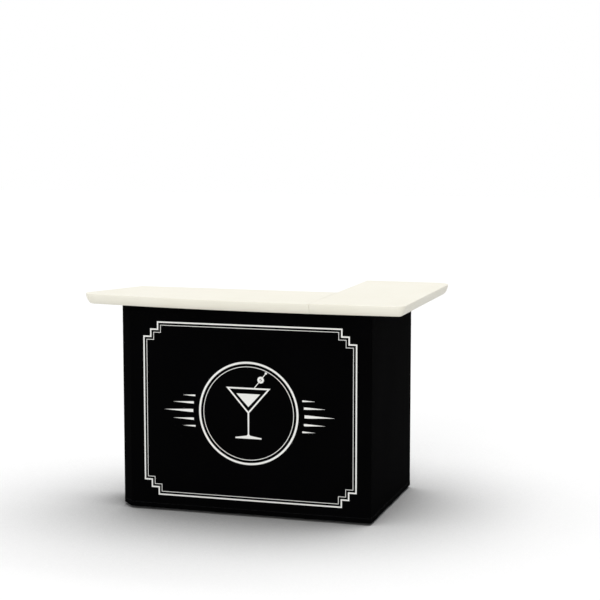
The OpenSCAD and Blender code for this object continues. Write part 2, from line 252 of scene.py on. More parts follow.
def startMaterial(name, f):
    # a shader whose colour wanders between two tones over patches of a real size
    tree = freshTree(bpy.data.materials.new(name))
    shader = addNode(tree, "BsdfPrincipled", values=f["sockets"])
    addNode(tree, "OutputMaterial", links={"Surface": (shader, "BSDF")})
    where = addNode(tree, "TexCoord")
    patches = addNode(tree, "TexNoise", values={"Scale": perMm(f["patchMm"]), "Detail": f["detail"]},
                      links={"Vector": (where, "Object")})
    first, second = [linear(colour) for colour in f["colours"]]
    addNode(tree, "Mix", {"data_type": "RGBA"}, {6: first, 7: second}, {0: (patches, "Fac")},
            (2, shader, "Base Color"))
    return tree, shader, where, patches


def stretchedNoise(tree, where, stretch, sizeMm, detail):
    longer = addNode(tree, "Mapping", values={"Scale": stretch}, links={"Vector": (where, "Object")})
    return addNode(tree, "TexNoise", values={"Scale": perMm(sizeMm), "Detail": detail},
                   links={"Vector": (longer, "Vector")})


def surface(tree, shader, f, relief, gloss=None):
    # a bump from one pattern and, where the gloss is uneven, roughness from another
    addNode(tree, "Bump", {"invert": f.get("sunken", False)},
            {"Strength": f["bump"], "Distance": f["depthMm"] * mm}, {"Height": relief},
            ("Normal", shader, "Normal"))
    if gloss:
        addNode(tree, "MapRange", values=spans(*f["glossFrom"], *f["rough"]), links={"Value": gloss},
                into=("Result", shader, "Roughness"))


counterFinish = dict(
    colours=("#f1eee1", "#ebe7d7"), patchMm=240, detail=3.0, sockets={"IOR": 1.52},
    scuffMm=14, scuffDetail=6.0, stretch=(1.0, 4.0, 1.0), glossFrom=(0.35, 0.7), rough=(0.40, 0.54),
    grainMm=1.6, grainSmooth=0.6, sunken=True, bump=0.35, depthMm=0.05,
)


def blowMouldedPolyethylene(name, f):
    # cream polyethylene from a blasted mould: a fine pebble grain, soft highlights, faint cloudiness
    tree, shader, where, patches = startMaterial(name, f)
    scuffs = stretchedNoise(tree, where, f["stretch"], f["scuffMm"], f["scuffDetail"])
    grain = addNode(tree, "TexVoronoi", {"feature": "SMOOTH_F1"},
                    {"Scale": perMm(f["grainMm"]), "Smoothness": f["grainSmooth"]},
                    {"Vector": (where, "Object")})
    surface(tree, shader, f, (grain, "Distance"), (scuffs, "Fac"))


clothFinish = dict(
    patchMm=320, detail=4.0, sockets={"IOR": 1.03}, glossFrom=(0.0, 1.0), rough=(0.76, 0.90),
    threadMm=1.1, threadDetail=1.0, wander=0.4, wanderScale=0.6, bump=0.5, depthMm=0.10,
)
clothColours = {"blackPrintedPolyester": ("#030303", "#060607"),
                "darkPolyesterBack": ("#4b4b4e", "#59595c")}


def wovenPolyester(name, f):
    # dye-printed polyester: matt, plain weave. Its 0.4 mm threads are drawn at 1.1 mm so that they show
    tree, shader, where, patches = startMaterial(name, f)
    warp, weft = [
        addNode(tree, "TexWave", {"bands_direction": way},
                {"Scale": perThread(f["threadMm"]), "Distortion": f["wander"],
                 "Detail": f["threadDetail"], "Detail Scale": f["wanderScale"]}, {"Vector": (where, "UV")})
        for way in ("X", "Y")
    ]
    weave = addNode(tree, "Math", {"operation": "MULTIPLY"}, links={0: (warp, "Fac"), 1: (weft, "Fac")})
    surface(tree, shader, f, (weave, "Value"), (weave, "Value"))


inkFinish = dict(
    colours=("#f4f4f1", "#e9e9e5"), patchMm=9, detail=5.0, threadMm=1.4, wander=1.0,
    sockets={"Roughness": 0.62, "Specular IOR Level": 0.3}, bump=0.3, depthMm=0.05,
)


def screenInk(name, f):
    # white plastisol screen ink: flat, a little thinner where the cloth's threads stand up
    tree, shader, where, patches = startMaterial(name, f)
    threads = addNode(tree, "TexWave", {"bands_direction": "Z"},
                      {"Scale": perThread(f["threadMm"]), "Distortion": f["wander"]},
                      {"Vector": (where, "Object")})
    surface(tree, shader, f, (threads, "Fac"))


usualGrain = dict(detail=4.0, grainDetail=2.0, sockets={}, stretch=(1.0, 1.0, 1.0), glossFrom=(0.3, 0.7),
                  bump=0.4)
grainedFinishes = {
    # satin powder coat on steel tube: the orange peel of melted powder
    "blackPowderCoatedSteel": dict(
        colours=("#1f2022", "#292a2d"), patchMm=90, rough=(0.38, 0.52), grainMm=2.2, depthMm=0.06),
    # bright zinc plate on pressed steel: cool grey metal with cloudy gloss
    "zincPlatedSteel": dict(
        colours=("#c6cacd", "#aeb3b8"), patchMm=11, rough=(0.26, 0.46), grainMm=1.2, depthMm=0.015,
        sockets={"Metallic": 1.0}),
    # moulded grey nylon wheel centre: smooth, slightly waxy
    "greyMouldedNylon": dict(
        colours=("#8b8e92", "#7d8084"), patchMm=18, rough=(0.36, 0.5), grainMm=0.9, depthMm=0.02),
    # thermoplastic rubber tread: dull, dusty from the floor
    "greyRubberTread": dict(
        colours=("#3a3b3d", "#4b4a48"), patchMm=7, rough=(0.68, 0.9), grainMm=1.4, depthMm=0.05),
    # glass-filled black nylon pedals and plugs: fine spark-eroded mould texture
    "blackMouldedNylon": dict(
        colours=("#1c1d1f", "#252628"), patchMm=12, rough=(0.46, 0.62), grainMm=0.8, depthMm=0.06),
    # extruded white polypropylene board: faint draw lines along its length
    "whitePolypropyleneBoard": dict(
        colours=("#e6e2d6", "#dbd7ca"), patchMm=60, rough=(0.42, 0.58), grainMm=3.0, depthMm=0.05,
        stretch=(0.05, 1.0, 1.0)),
    # sewn black nylon: hook tape and thread, fuzzy and dull
    "blackNylonTape": dict(
        colours=("#121213", "#1d1d1f"), patchMm=4, rough=(0.8, 0.95), grainMm=0.9, depthMm=0.12),
}


def grainedFinish(name, f):
    # two wandering tones, a bumped grain and uneven gloss, all at the grain's real size
    tree, shader, where, patches = startMaterial(name, f)
    grain = stretchedNoise(tree, where, f["stretch"], f["grainMm"], f["grainDetail"])
    surface(tree, shader, f, (grain, "Fac"), (patches, "Fac"))


blowMouldedPolyethylene("creamBlowMouldedPolyethylene", counterFinish)
for name, colours in clothColours.items():
    wovenPolyester(name, {**clothFinish, "colours": colours})
screenInk("whiteScreenInk", inkFinish)
for name, f in grainedFinishes.items():
    grainedFinish(name, {**usualGrain, **f})
print("stage: materials made")

# CAD nodes that stay, by the openings of their names
nodeFinishes = {
    "blackPowderCoatedSteel": ("post_", "base_rail_", "top_rail_", "shelf_rails", "seam_bearer"),
    "zincPlatedSteel": ("top_pegs", "axle_"), "greyMouldedNylon": ("hub_",), "greyRubberTread": ("tread_",),
}
for finish, openings in nodeFinishes.items():
    for name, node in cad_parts.items():
        if name.startswith(openings):
            paint(node, finish)

# counter panels

counterSet = dict(
    bowRadius=6.1, bowApex=0.554, endSlant=math.radians(23.5),
    noseRadius=0.060, backCorner=0.020, armFront=0.040, armBack=0.085, leastCorner=0.0015,
    edgeRound=0.0015, undercut=0.026, footRadius=0.010, flatBand=0.002,
    roundSteps=4, faceSteps=8, footSteps=6, arcSteps=16, mainBowSteps=27, armBowSteps=9,
    seamEase=0.0004, lip=0.0015, lipFind=0.0012, cutProud=0.001, pegsApart=0.05, smooth=38,
    dimple=dict(sides=40, mouth=0.020, tip=0.007, depth=0.046),
    pegHole=dict(sides=32, mouth=0.0086, tip=0.0086, depth=0.022),
    mainDimples=7, mainRows=(0.49, 0.77), mainSpan=(0.16, 0.93), bowRowInset=0.054,
    armDimples=6, armRows=(0.32, 0.79), armSpan=(0.08, 0.93),
)
mainLow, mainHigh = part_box("main_top")
armLow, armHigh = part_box("arm_top")
counterRight = armHigh.x
seamX = (mainHigh.x + armLow.x) / 2
bowCentre = Vector((counterRight - counterSet["bowApex"], mainLow.y + counterSet["bowRadius"]))


def onBow(x, inset=0.0):
    radius = counterSet["bowRadius"] - inset
    return Vector((x, bowCentre.y - math.sqrt(radius ** 2 - (x - bowCentre.x) ** 2)))


def bowAngle(at):
    return 2 * math.pi + math.atan2(at.y - bowCentre.y, at.x - bowCentre.x)


def arc(centre, radius, first, last):
    return [centre + radius * Vector((math.cos(turn), math.sin(turn)))
            for turn in spread(first, last, counterSet["arcSteps"] + 1)]


def bowRun(x0, x1, inset, steps):
    return [onBow(x, inset) for x in spread(x0, x1, steps + 1)]


def mainOutline(c, inset):
    slant = math.pi - c["endSlant"]
    nose = onBow(-counterRight + c["noseRadius"], c["noseRadius"])
    corner = max(c["backCorner"] - inset, c["leastCorner"])
    onSlant = nose + (c["noseRadius"] - inset - corner) * Vector((math.cos(slant), math.sin(slant)))
    backY = mainHigh.y - inset - corner
    back = Vector((onSlant.x + (backY - onSlant.y) * math.tan(c["endSlant"]), backY))
    noseArc = arc(nose, c["noseRadius"] - inset, slant, bowAngle(nose))
    return (noseArc + bowRun(noseArc[-1].x, mainHigh.x, inset, c["mainBowSteps"])[1:]
            + [Vector((mainHigh.x, mainHigh.y - inset))]
            + arc(back, corner, math.pi / 2, slant))


def armOutline(c, inset):
    front = onBow(counterRight - c["armFront"], c["armFront"])
    back = Vector((counterRight - c["armBack"], armHigh.y - c["armBack"]))
    frontArc = arc(front, c["armFront"] - inset, bowAngle(front), 2 * math.pi)
    return (bowRun(armLow.x, frontArc[0].x, inset, c["armBowSteps"])[:-1] + frontArc
            + arc(back, c["armBack"] - inset, 0.0, math.pi / 2)
            + [Vector((armLow.x, armHigh.y - inset))])


def edgeSection(c, high, low):
    # insets and heights from the top down: a crisp edge, a face on a wide arc, a foot on a small one
    thick, foot, crisp = high - low, c["footRadius"], c["edgeRound"]
    wide = (c["undercut"] ** 2 + thick ** 2 - 2 * thick * foot) / (2 * (c["undercut"] - foot))
    lean = math.asin((thick - foot) / (wide - foot))
    section = [(crisp + c["flatBand"], high)]
    for turn in spread(math.pi / 2, 0.0, c["roundSteps"] + 1):
        section.append((crisp * (1 - math.cos(turn)), high - crisp * (1 - math.sin(turn))))
    for turn in spread(math.asin(crisp / wide), lean, c["faceSteps"] + 1)[1:]:
        section.append((wide * (1 - math.cos(turn)), high - wide * math.sin(turn)))
    for turn in spread(lean, math.pi / 2, c["footSteps"] + 1)[1:]:
        section.append((c["undercut"] - foot * math.cos(turn), low + foot * (1 - math.sin(turn))))
    return section + [(c["undercut"] + c["flatBand"], low)]


def flatKey(point):
    return round(point.x, 5), round(point.y, 5)


def buildPanel(name, outline, seamFace, high, low, holes, c):
    rings = [[point.to_3d() + Vector((0, 0, height)) for point in outline(c, inset)]
             for inset, height in edgeSection(c, high, low)]
    panel = disc(name, len(rings[0]))
    for vertex, point in zip(panel.data.vertices, rings[0]):
        vertex.co = point
    editing(panel, everything=True)
    # the face is pulled down ring by ring, and its corners go to their places on the next ring
    for before, after in zip(rings, rings[1:]):
        pull((0, 0, -0.1 * mm))
        nextPlace = {flatKey(a): b for a, b in zip(before, after)}
        shape = bmesh.from_edit_mesh(panel.data)
        for vertex in shape.verts:
            if vertex.select:
                vertex.co = nextPlace[flatKey(vertex.co)]
        bmesh.update_edit_mesh(panel.data)
    faceOut()

    def onSeam(face):
        return abs(face.normal.x) > facing and abs(face.calc_center_median().x - seamFace) < same

    # the seam side is one square face with eased edges
    pick(panel, "faces", onSeam)
    bpy.ops.mesh.dissolve_faces()
    bevelWhere(panel, lambda edge: sum(onSeam(f) for f in edge.link_faces) == 1,
               c["seamEase"], 2, profile=0.6)
    proud = c["cutProud"]
    cutter = merge([
        start(bpy.ops.mesh.primitive_cone_add, "cutter", vertices=hole["sides"], radius1=hole["mouth"],
              radius2=hole["tip"], depth=hole["depth"] + proud,
              location=(*at, low + (hole["depth"] - proud) / 2))
        for at, hole in holes
    ], "counterCutter")
    # the exact solver turns the main panel inside out on a busy machine
    modify(panel, "BOOLEAN", operation="DIFFERENCE", solver="MANIFOLD", object=cutter)
    bpy.data.objects.remove(cutter)

    def onMouth(edge):
        return all(abs(v.co.z - low) < same for v in edge.verts) and any(
            all(abs((v.co.xy - at).length - hole["mouth"]) < c["lipFind"] for v in edge.verts)
            for at, hole in holes)

    editing(panel)
    bevelWhere(panel, onMouth, c["lip"], 2)
    return panel


def pegSpots(apart):
    # points of the peg node that are near to each other are one peg
    pegs = []
    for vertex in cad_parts["top_pegs"].data.vertices:
        at = vertex.co.xy
        near = [peg for peg in pegs if (peg[0] - at).length < apart]
        if near:
            near[0].append(at)
        else:
            pegs.append([at])
    return sorted([Vector([(min(side) + max(side)) / 2 for side in zip(*peg)]) for peg in pegs], key=tuple)


pegs = pegSpots(counterSet["pegsApart"])
mainXs = spread(*shares(-counterRight, seamX, counterSet["mainSpan"]), counterSet["mainDimples"])
mainYs = shares(mainLow.y, mainHigh.y, counterSet["mainRows"])
mainSpots = [Vector((x, y)) for x in mainXs for y in mainYs]
mainSpots += [onBow(x) + Vector((0, counterSet["bowRowInset"])) for x in mainXs]
armXs = shares(seamX, counterRight, counterSet["armRows"])
armYs = spread(*shares(mainLow.y, armHigh.y, counterSet["armSpan"]), counterSet["armDimples"])
armSpots = [Vector((x, y)) for y in armYs for x in armXs]
for name, node, body, outline, seamFace, spots in (
        ("counterMain", "main_top", "main_counter", mainOutline, mainHigh.x, mainSpots),
        ("counterArm", "arm_top", "arm_counter", armOutline, armLow.x, armSpots)):
    low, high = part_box(node)
    holes = [(spot, counterSet["dimple"]) for spot in spots]
    holes += [(peg, counterSet["pegHole"]) for peg in pegs if low.x < peg.x < high.x]
    panel = buildPanel(name, outline, seamFace, high.z, low.z, holes, counterSet)
    fit(panel, body, "counter", "creamBlowMouldedPolyethylene", degrees=counterSet["smooth"])
    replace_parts(panel, node)
    print("stage:", name, "of", len(panel.data.polygons), "faces")

# wrap: one cloth from the left end round the front, the right side and the arm's end

wrapSet = dict(
    foldRadius=0.005, thick=0.0009, columnStep=0.011, rowStep=0.014, foldSteps=5,
    hemHeight=0.026, hemProud=0.0006, hemBlend=0.0016, sideHem=0.022, hemRows=6,
    overHem=0.006, stitchDown=0.004, stitchRows=(0.0065, 0.0048, 0.004, 0.0032),
    foldHold=0.16, skirtLeast=0.25, swing=0.5, swayRate=4.3, smooth=50,
    crease=0.0007, creaseAt=0.05, creaseWide=0.05, creaseDeep=0.16, creaseRate=95.0,
    pucker=0.00025, puckerWide=0.0016, puckerRate=520.0, puckerSwing=0.6,
    # each wave: share, rates along and up the cloth, phase, and sway with height
    slack=dict(depth=0.0013, mean=0.55, waves=(
        (1.0, 9.1, 0.0, 0.6, 1.1), (0.6, 17.3, -5.2, 1.7, 0.0), (0.35, 31.0, 11.0, 0.4, 0.0))),
    skirt=dict(depth=0.0020, mean=0.3, waves=(
        (1.0, 15.7, 0.0, 0.9, 0.0), (0.55, 38.0, 0.0, 2.1, 0.0), (0.3, 71.0, 0.0, 0.0, 0.0))),
)
leftLow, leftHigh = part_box("wrap_left")
frontLow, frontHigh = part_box("wrap_front")
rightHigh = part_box("wrap_right")[1]
endLow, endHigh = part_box("wrap_end")
wrapCorners = [Vector(corner) for corner in (
    (leftLow.x, leftHigh.y), (leftLow.x, leftLow.y), (frontLow.x, frontLow.y),
    (rightHigh.x, frontLow.y), (rightHigh.x, rightHigh.y), (endLow.x, endHigh.y))]
wrapLow, wrapHigh = frontLow.z, frontHigh.z
stitchZ = wrapLow + wrapSet["hemHeight"] - wrapSet["stitchDown"]
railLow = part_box("base_rail_front")[0].z
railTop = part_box("top_rail_front")[0].z


def foldedPath(corners, radius):
    # stretches of the plan line (start, heading, turn, length), with a round fold at each corner
    stretches, at = [], corners[0]
    for before, corner, after in zip(corners, corners[1:], corners[2:]):
        into, out = (corner - before).normalized(), (after - corner).normalized()
        turn = math.atan2(into.x * out.y - into.y * out.x, into.dot(out))
        trim = radius * math.tan(turn / 2)
        stretches.append((at, into, 0.0, (corner - trim * into - at).length))
        stretches.append((corner - trim * into, into, turn, radius * turn))
        at = corner + trim * out
    stretches.append((at, (corners[-1] - at).normalized(), 0.0, (corners[-1] - at).length))
    return stretches


wrapPath = foldedPath(wrapCorners, wrapSet["foldRadius"])
foldMarks, wrapLength = [0.0], 0.0
for point, heading, turn, length in wrapPath:
    if turn:
        foldMarks.append(wrapLength + length / 2)
    wrapLength += length
foldMarks.append(wrapLength)
frontStart = sum(stretch[3] for stretch in wrapPath[:4])  # the path's length before the front
frontFold = wrapPath[3][3]  # the fold just before it


def alongWrap(left):  # point at that length of the cloth's plan line, and its outward direction
    for point, heading, turn, length in wrapPath:
        if left <= length + 1e-9:
            break
        left -= length
    if turn:
        radius = length / turn
        inward = Vector((-heading.y, heading.x))
        out = Matrix.Rotation(turn * left / length, 2) @ -inward
        return point + radius * inward + radius * out, out
    return point + left * heading, Vector((heading.y, -heading.x))


def clamp(value):
    return min(1.0, max(0.0, value))


def ease(value):
    t = clamp(value)
    return t * t * (3 - 2 * t)


def bell(distance, width):
    return math.exp(-(distance / width) ** 2)


def ripple(part, s, z):
    sway = math.sin(z * wrapSet["swayRate"])
    waves = sum(share * math.sin(s * along + z * up + phase + sways * sway)
                for share, along, up, phase, sways in part["waves"])
    return part["depth"] * (part["mean"] + wrapSet["swing"] * waves)


def clothShift(s, z):
    # how far the hung cloth stands off its plan line: slack, a free skirt, sewn hems
    w = wrapSet
    offFold = min(abs(s - mark) for mark in foldMarks)
    held = ease(offFold / w["foldHold"])
    span = clamp((z - railLow) / (railTop - railLow))
    shift = math.sin(math.pi * span) * held * ripple(w["slack"], s, z)
    below = ease((railLow - z) / (railLow - wrapLow))
    free = w["skirtLeast"] + (1 - w["skirtLeast"]) * held
    shift += below * free * ripple(w["skirt"], s, z)
    # tension drawn into the upper corners of each stretch
    fromTop = wrapHigh - z
    shift += (w["crease"] * bell(offFold - w["creaseAt"], w["creaseWide"]) * bell(fromTop, w["creaseDeep"])
              * math.sin((offFold + fromTop) * w["creaseRate"]))
    pastHem = min(z - wrapLow - w["hemHeight"], min(s, wrapLength - s) - w["sideHem"])
    shift += w["hemProud"] * (1 - ease(pastHem / w["hemBlend"] + 0.5))
    # the hem's stitching draws the cloth in a little
    drawn = 1.0 + w["puckerSwing"] * math.sin(s * w["puckerRate"])
    return shift - w["pucker"] * bell(z - stitchZ, w["puckerWide"]) * drawn


def onCloth(s, z, proud=0.0):
    point, out = alongWrap(s)
    return (point + out * (clothShift(s, z) + proud)).to_3d() + Vector((0, 0, z)), out.to_3d()


def clothColumns(w):
    marks, at = [0.0], 0.0
    for point, heading, turn, length in wrapPath:
        count = w["foldSteps"] if turn else max(1, math.ceil(length / w["columnStep"]))
        marks += [at + length * (i + 1) / count for i in range(count)]
        at += length
    for edge in (w["sideHem"], wrapLength - w["sideHem"]):
        marks += [edge - w["hemBlend"], edge, edge + w["hemBlend"]]
    return sorted(marks)


def clothRows(w):
    hemTop = wrapLow + w["hemHeight"]
    marks = [wrapLow + w["hemHeight"] * i / w["hemRows"] for i in range(w["hemRows"])]
    marks += [hemTop - down for down in w["stitchRows"]]
    marks += [hemTop - w["hemBlend"] / 2, hemTop, hemTop + w["hemBlend"] / 2]
    rest = hemTop + w["overHem"]
    count = math.ceil((wrapHigh - rest) / w["rowStep"])
    return sorted(marks + spread(rest, wrapHigh, count + 1))


columns, rows = clothColumns(wrapSet), clothRows(wrapSet)
wrap = start(bpy.ops.mesh.primitive_grid_add, "wrapCloth", size=2,
             x_subdivisions=len(columns) - 1, y_subdivisions=len(rows) - 1)
clothUv = wrap.data.uv_layers.active or wrap.data.uv_layers.new()
clothUv.name = "weave"
flatPlaces = []
for vertex in wrap.data.vertices:
    s = columns[round((vertex.co.x + 1) / 2 * (len(columns) - 1))]
    z = rows[round((vertex.co.y + 1) / 2 * (len(rows) - 1))]
    flatPlaces.append((s, z))
    vertex.co = onCloth(s, z)[0]
for loop in wrap.data.loops:  # the weave runs along the cloth, in metres
    clothUv.data[loop.index].uv = flatPlaces[loop.vertex_index]
fit(wrap, "frame", "wrap", "blackPrintedPolyester", "darkPolyesterBack")
modify(wrap, "SOLIDIFY", thickness=wrapSet["thick"], offset=-1.0, material_offset=1)
smooth(wrap, wrapSet["smooth"])
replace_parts(wrap, "wrap_front", "wrap_corner", "wrap_left", "wrap_right", "wrap_end")
print("stage: wrap,", round(wrapLength, 3), "m of cloth,", len(wrap.data.polygons), "faces")

# sewing along the hems

stitchSet = dict(length=0.0034, width=0.0009, pitch=0.0047, sideInset=0.017, endGap=0.005, sides=6, tip=0.2,
                 run=((0.2, 2.3), (0.6, 1.0), (0.2, 0.45)), smooth=60)


def stitchTemplate(c):
    # a grain of thread: a tube that narrows at both ends
    stitch = pillar("stitch", c["sides"], c["width"] * c["tip"],
                    [(c["length"] * share, swell) for share, swell in c["run"]], -c["length"] / 2)
    faceOut()
    return stitch


def stitchPlace(s, z, upright):
    point, out = onCloth(s, z)
    along = Vector((0, 0, 1)) if upright else Vector((-out.y, out.x, 0))
    turn = Matrix((out.cross(along), out, along)).transposed().to_4x4()
    return Matrix.Translation(point) @ turn


pitch, endGap = stitchSet["pitch"], stitchSet["endGap"]
hemRun = int((wrapLength - 2 * endGap) / pitch)
sideRun = int((wrapHigh - stitchZ - 2 * endGap) / pitch)
places = [stitchPlace(endGap + pitch * i, stitchZ, False) for i in range(hemRun)]
for s in (stitchSet["sideInset"], wrapLength - stitchSet["sideInset"]):
    places += [stitchPlace(s, stitchZ + pitch * (i + 1), True) for i in range(sideRun)]
stitches = scatter(stitchTemplate(stitchSet), "hemStitches", places)
fit(stitches, "frame", "wrap", "blackNylonTape", degrees=stitchSet["smooth"])
print("stage: hem stitches,", len(places))

# print on the front: a plain border, and a cocktail glass in a ring

printSet = dict(
    drop=0.005, borderInset=0.070, borderStep=0.036, ringCorners=96,
    # insets and radii, each with the width of its line
    borders=((0.0, 0.007), (0.017, 0.0026)), rings=((0.252, 0.010), (0.229, 0.003)),
    # the glass by half widths and heights, from the middle of the ring
    bowl=((0.112, 0.126), (0.0, -0.002)), bowlLine=0.0075, drink=((0.060025, 0.096), (0.0, 0.032)),
    stem=((0.0042, 0.002), (0.00336, -0.100), (0.00924, -0.108), (0.066, -0.117), (0.066, -0.123)),
    stickLean=(0.62, 0.78), stickFrom=(0.034, 0.130), stickSpan=(-0.012, 0.088), stickHalf=0.0019,
    oliveAt=0.046, oliveRadius=0.0165, oliveLine=0.0105, oliveCorners=40, knobRadius=0.006, knobCorners=24,
    wingGap=0.030, wingShoulder=0.12,
    wings=((0.0, 0.150, 0.0075), (0.040, 0.108, 0.0055), (0.075, 0.066, 0.0040)),
    layer=0.00022, thick=0.00015, tile=0.0125,
)
printMiddle = Vector(((frontLow.x + rightHigh.x) / 2, 0, (wrapLow + wrapHigh) / 2 - printSet["drop"]))


def inkShape(points, line=None):
    # a flat shape that faces the guests, from its outline in x and z, or with line its border
    piece = disc("ink", len(points))
    for vertex, point in zip(piece.data.vertices, points):
        vertex.co = (printMiddle.x + point[0], 0.0, printMiddle.z + point[1])
    if line:
        editing(piece, everything=True)
        bpy.ops.mesh.inset(thickness=line)
        bpy.ops.mesh.delete(type="FACE")
    return piece


def ringPoints(radius, corners, middle=(0.0, 0.0)):
    turns = [2 * math.pi * i / corners for i in range(corners)]
    return [(middle[0] + radius * math.cos(turn), middle[1] + radius * math.sin(turn)) for turn in turns]


def steppedFrame(halfWide, halfHigh, step):
    # a rectangle whose corners step in twice
    steps = (0, 2), (1, 2), (1, 1), (2, 1), (2, 0)
    right = [(halfWide - x * step, halfHigh - z * step) for x, z in steps]
    left = [(-x, z) for x, z in reversed(right)]
    return right + left + [(-x, -z) for x, z in right] + [(x, -z) for x, z in reversed(right)]


def mirrored(half):  # a whole outline from its right half
    return [(-x, z) for x, z in half] + [(x, z) for x, z in reversed(half) if x]


def cocktailGlass(c):
    lean, at = Vector(c["stickLean"]).normalized(), Vector(c["stickFrom"])
    half = c["stickHalf"] * Vector((lean.y, -lean.x))
    first, last = [at + reach * lean for reach in c["stickSpan"]]
    olive = ringPoints(c["oliveRadius"], c["oliveCorners"], at + c["oliveAt"] * lean)
    return [
        inkShape(mirrored(c["bowl"]), c["bowlLine"]), inkShape(mirrored(c["drink"])),
        inkShape(mirrored(c["stem"])), inkShape([first + half, last + half, last - half, first - half]),
        inkShape(olive, c["oliveLine"]), inkShape(ringPoints(c["knobRadius"], c["knobCorners"], last)),
    ]


def wing(side, height, length, half, c):
    # a tapered bar that points away from the ring
    reach = math.sqrt(c["rings"][0][0] ** 2 - height ** 2) + c["wingGap"]
    foot, tip = side * reach, side * (reach + length)
    shoulder = foot + side * length * c["wingShoulder"]
    points = [(foot, height - half), (shoulder, height - half), (tip, height),
              (shoulder, height + half), (foot, height + half)]
    return inkShape(points if side > 0 else points[::-1])


def printPieces(c):
    halfWide = (rightHigh.x - frontLow.x) / 2 - c["borderInset"]
    halfHigh = (wrapHigh - wrapLow) / 2 - c["borderInset"]
    pieces = [inkShape(steppedFrame(halfWide - inset, halfHigh - inset, c["borderStep"]), line)
              for inset, line in c["borders"]]
    pieces += [inkShape(ringPoints(radius, c["ringCorners"]), line) for radius, line in c["rings"]]
    pieces += cocktailGlass(c)
    for height, length, half in c["wings"]:
        for side in (-1, 1):
            for level in {height, -height}:
                pieces.append(wing(side, level, length, half, c))
    return pieces


ink = merge(printPieces(printSet), "frontPrint")
editing(ink)
tile = printSet["tile"]
# cut in tiles, so that the ink can follow the cloth
for axis, low, high in (((1, 0, 0), frontLow.x, rightHigh.x), ((0, 0, 1), wrapLow, wrapHigh)):
    for i in range(1, int((high - low) / tile)):
        bpy.ops.mesh.select_all(action="SELECT")
        bpy.ops.mesh.bisect(plane_co=[(low + i * tile) * a for a in axis], plane_no=axis)
bpy.ops.mesh.select_all(action="SELECT")
bpy.ops.mesh.quads_convert_to_tris()
deselect()
for vertex in ink.data.vertices:
    s = frontStart + vertex.co.x - (frontLow.x + frontFold / 2)
    vertex.co = onCloth(s, vertex.co.z, printSet["layer"])[0]
editing(ink)
pick(ink, "faces", lambda face: face.normal.y > 0)
bpy.ops.mesh.flip_normals()
modify(ink, "SOLIDIFY", thickness=printSet["thick"], offset=1.0)
fit(ink, "frame", "wrap", "whiteScreenInk")
print("stage: print,", len(ink.data.polygons), "faces")

# boards, pads, pressed steel and pedals, with edges as cutting and moulding leave them

easedSet = dict(board=0.0016, pad=0.0008, plate=0.0005, fork=0.0006, segments=3, profile=0.6,
                leastTurn=math.radians(40), flat=math.radians(1), smooth=40)
castorNames = ("front_left", "front_right", "rear_left", "inner", "arm_inner", "arm_outer")
brakedNames = ("rear_left", "inner")
shelfNames = ("main_shelf_low", "main_shelf_mid", "arm_shelf_low", "arm_shelf_mid")


def mergedCopy(nodeName, name):
    piece = addObject(name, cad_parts[nodeName].data.copy())
    piece.data.name = name
    editing(piece, everything=True)
    bpy.ops.mesh.remove_doubles(threshold=weld)
    return piece


def easedCopy(nodeName, name, width, c):
    piece = mergedCopy(nodeName, name)
    bpy.ops.mesh.dissolve_limited(angle_limit=c["flat"])
    bevelWhere(piece, lambda edge: edge.is_convex and edge.calc_face_angle(0.0) > c["leastTurn"],
               width, c["segments"], profile=c["profile"], clamp_overlap=True)
    modify(piece, "TRIANGULATE", min_vertices=5)
    smooth(piece, c["smooth"])
    return piece


pedalSet = dict(voxel=0.0004, factor=0.5, rounds=9, keep=0.2, ribs=4, pitch=0.0042, fromToe=0.004,
                wide=0.021, thick=0.0018, high=0.0009, sunk=0.0010, ribRound=0.6,
                toeTop=0.062, slope=math.radians(9.65), smooth=50)


def mouldedPedal(nodeName, name, c):
    # edges that run together as in a moulding, and bars across the toe that give a shoe grip
    low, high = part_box(nodeName)
    pedal = mergedCopy(nodeName, name)
    modify(pedal, "REMESH", mode="VOXEL", voxel_size=c["voxel"])
    modify(pedal, "SMOOTH", factor=c["factor"], iterations=c["rounds"])
    modify(pedal, "DECIMATE", ratio=c["keep"])
    rib = block("rib", (c["wide"], c["thick"], c["high"] + c["sunk"]))
    bevelWhere(rib, lambda edge: all(v.co.z > 0 for v in edge.verts), c["high"] * c["ribRound"], 3)
    places = []
    for i in range(c["ribs"]):
        back = c["fromToe"] + c["pitch"] * i
        top = c["toeTop"] + back * math.tan(c["slope"]) + (c["high"] - c["sunk"]) / 2
        places.append(placed(((low.x + high.x) / 2, high.y - back, top), -c["slope"], "X"))
    pedal = merge([pedal, scatter(rib, "ribs", places)], name)
    smooth(pedal, c["smooth"])
    return pedal


eased = [("castor_pads", "castorPads", "frame", "frame", "blackPowderCoatedSteel", "pad"),
         ("castor_plates", "castorPlates", "frame", "castor_metal", "zincPlatedSteel", "plate")]
eased += [(shelf, camel("board", shelf), "frame", "shelf", "whitePolypropyleneBoard", "board")
          for shelf in shelfNames]
eased += [("fork_" + castor, camel("fork", castor), "castor_" + castor, "castor_metal",
           "zincPlatedSteel", "fork") for castor in castorNames]
eased += [("brake_" + castor, camel("pedal", castor), "pedal_" + castor, "pedal",
           "blackMouldedNylon", "pedal") for castor in brakedNames]
for nodeName, name, body, slotName, finish, kind in eased:
    if kind == "pedal":
        piece = mouldedPedal(nodeName, name, pedalSet)
    else:
        piece = easedCopy(nodeName, name, easedSet[kind], easedSet)
    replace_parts(fit(piece, body, slotName, finish), nodeName)
print("stage: eased copies of", len(eased), "nodes")

# moulded ribs between each wheel's boss and rim, on both sides of its web

wheelRibSet = dict(count=6, inner=0.0085, outer=0.0176, web=0.0034, atBoss=0.0092, atRim=0.0070,
                   thick=0.0022, edge=0.0004, smooth=40)


